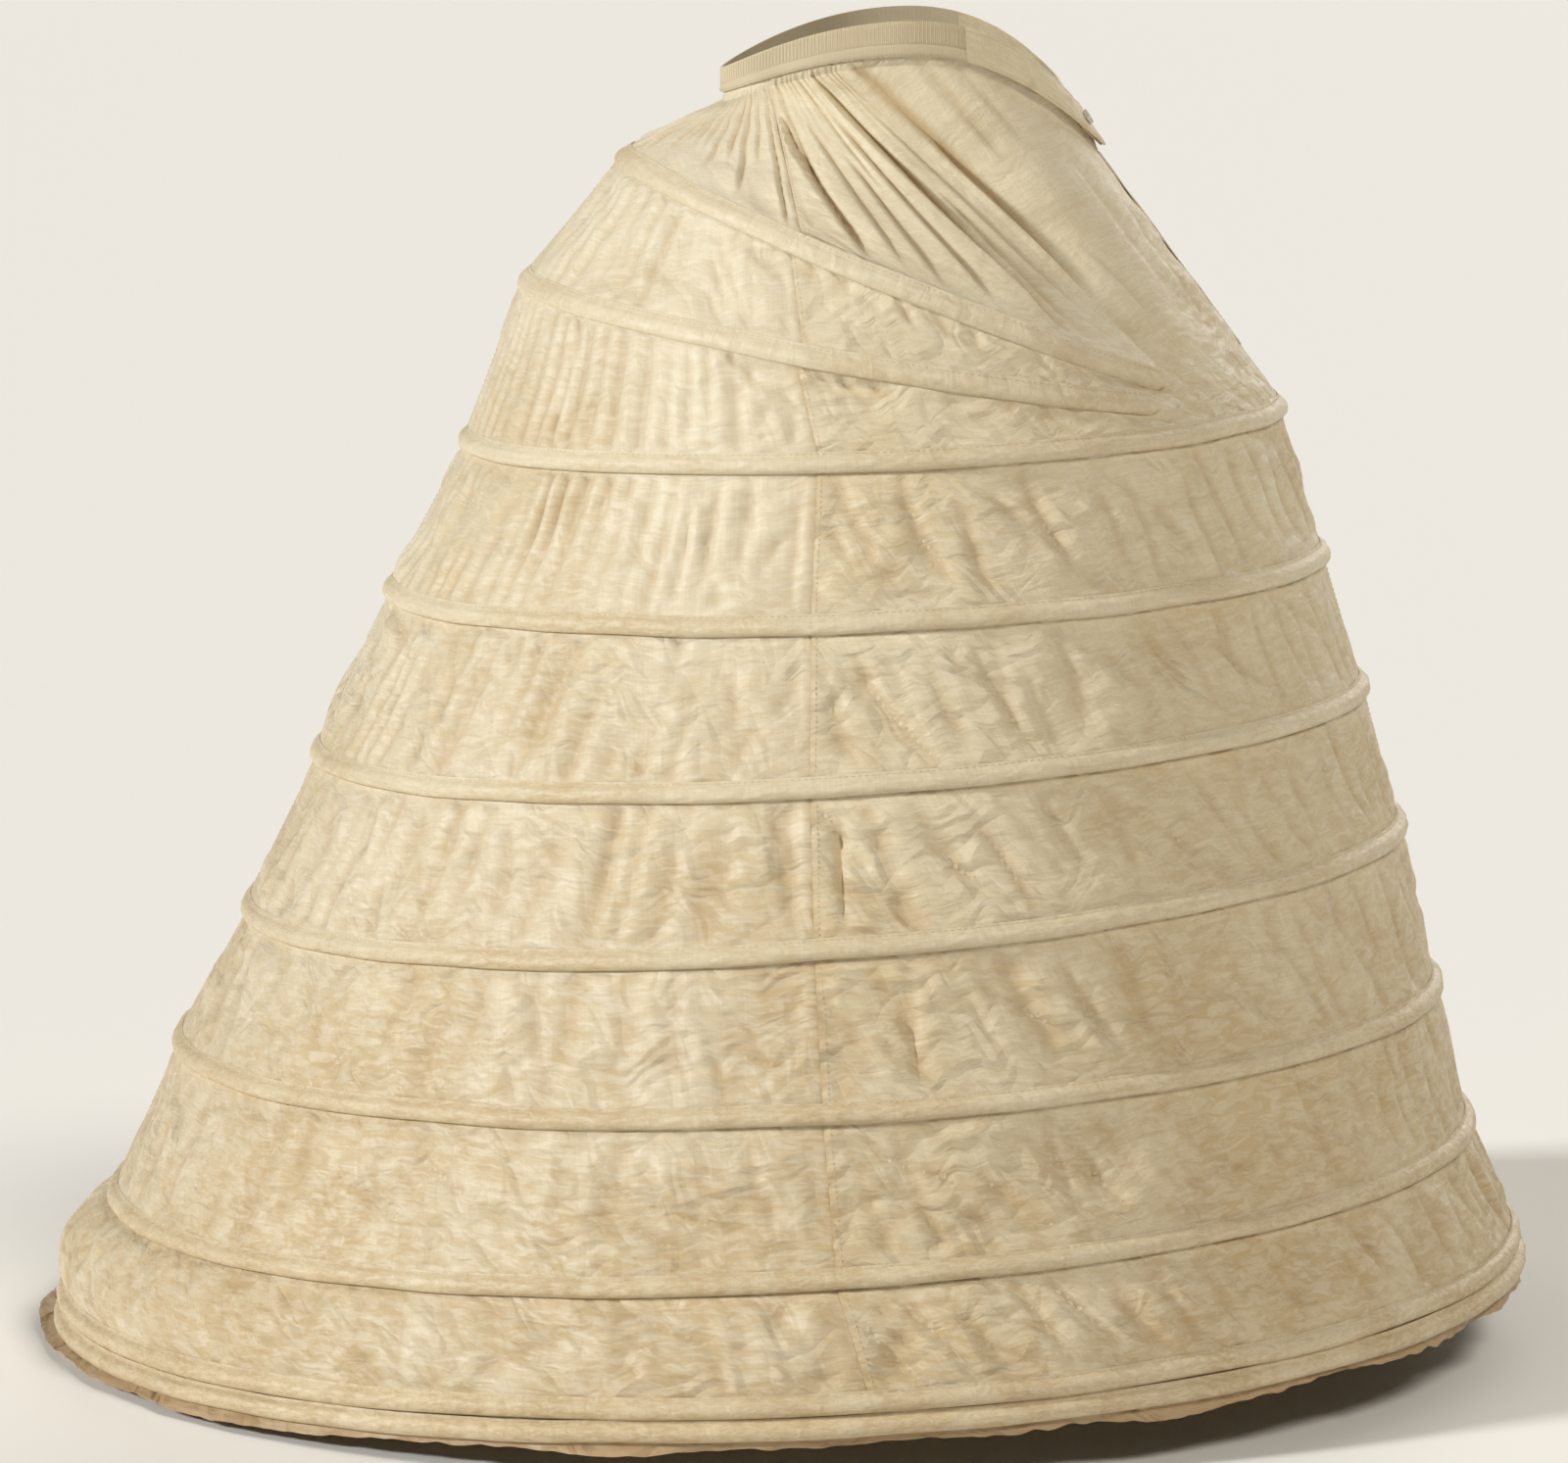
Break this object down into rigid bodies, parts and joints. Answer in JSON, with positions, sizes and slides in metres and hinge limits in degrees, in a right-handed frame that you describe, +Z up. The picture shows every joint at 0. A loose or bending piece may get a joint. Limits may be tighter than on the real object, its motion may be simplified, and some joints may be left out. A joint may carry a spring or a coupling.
{
  "type": "hooped petticoat",
  "caption": "Bell-shaped cotton petticoat gathered to a shaped waistband and held out by spring-steel hoops in stitched casings, with half hoops at the back and a front opening.",
  "frame": {"origin": "middle of the waist opening, at about the band's mean height", "axes": "+X to the wearer's front, +Y to the wearer's left, +Z up"},
  "size_m": [0.9849, 0.9812, 0.8716],
  "materials": {
    "cotton": "aged ecru plain-weave cotton, creased and stained",
    "casing_cotton": "the same cotton in stitched tubes",
    "ribbed_tape": "ribbed cotton tape",
    "white_button": "glazed white china",
    "sewing_thread": "linen thread",
    "covered_steel": "flat spring steel in a cotton braid",
    "clip_metal": "tinned sheet, crimped"
  },
  "bodies": {
    "root": {"front_right_gore": "cotton", "front_left_gore": "cotton", "back_right_gore": "cotton", "back_left_gore": "cotton", "back_waistband": "ribbed_tape", "right_waistband": "cotton", "left_waistband": "cotton", "placket_hem": "cotton", "placket_underlap": "cotton", "button": "white_button", "button_thread": "sewing_thread", "hoop_casing_1": "casing_cotton", "hoop_casing_2": "casing_cotton", "hoop_casing_3": "casing_cotton", "hoop_casing_4": "casing_cotton", "hoop_casing_5": "casing_cotton", "hoop_casing_6": "casing_cotton", "hoop_casing_7": "casing_cotton", "hoop_casing_8": "casing_cotton", "upper_half_casing": "casing_cotton", "lower_half_casing": "casing_cotton", "hoop_steel_1": "covered_steel", "hoop_steel_2": "covered_steel", "hoop_steel_3": "covered_steel", "hoop_steel_4": "covered_steel", "hoop_steel_5": "covered_steel", "hoop_steel_6": "covered_steel", "hoop_steel_7": "covered_steel", "hoop_steel_8": "covered_steel", "upper_half_steel": "covered_steel", "lower_half_steel": "covered_steel", "hoop_clip_1": "clip_metal", "hoop_clip_2": "clip_metal", "hoop_clip_3": "clip_metal", "hoop_clip_4": "clip_metal", "hoop_clip_5": "clip_metal", "hoop_clip_6": "clip_metal", "hoop_clip_7": "clip_metal", "hoop_clip_8": "clip_metal", "upper_half_tips": "clip_metal", "lower_half_tips": "clip_metal"}
  },
  "joints": []
}
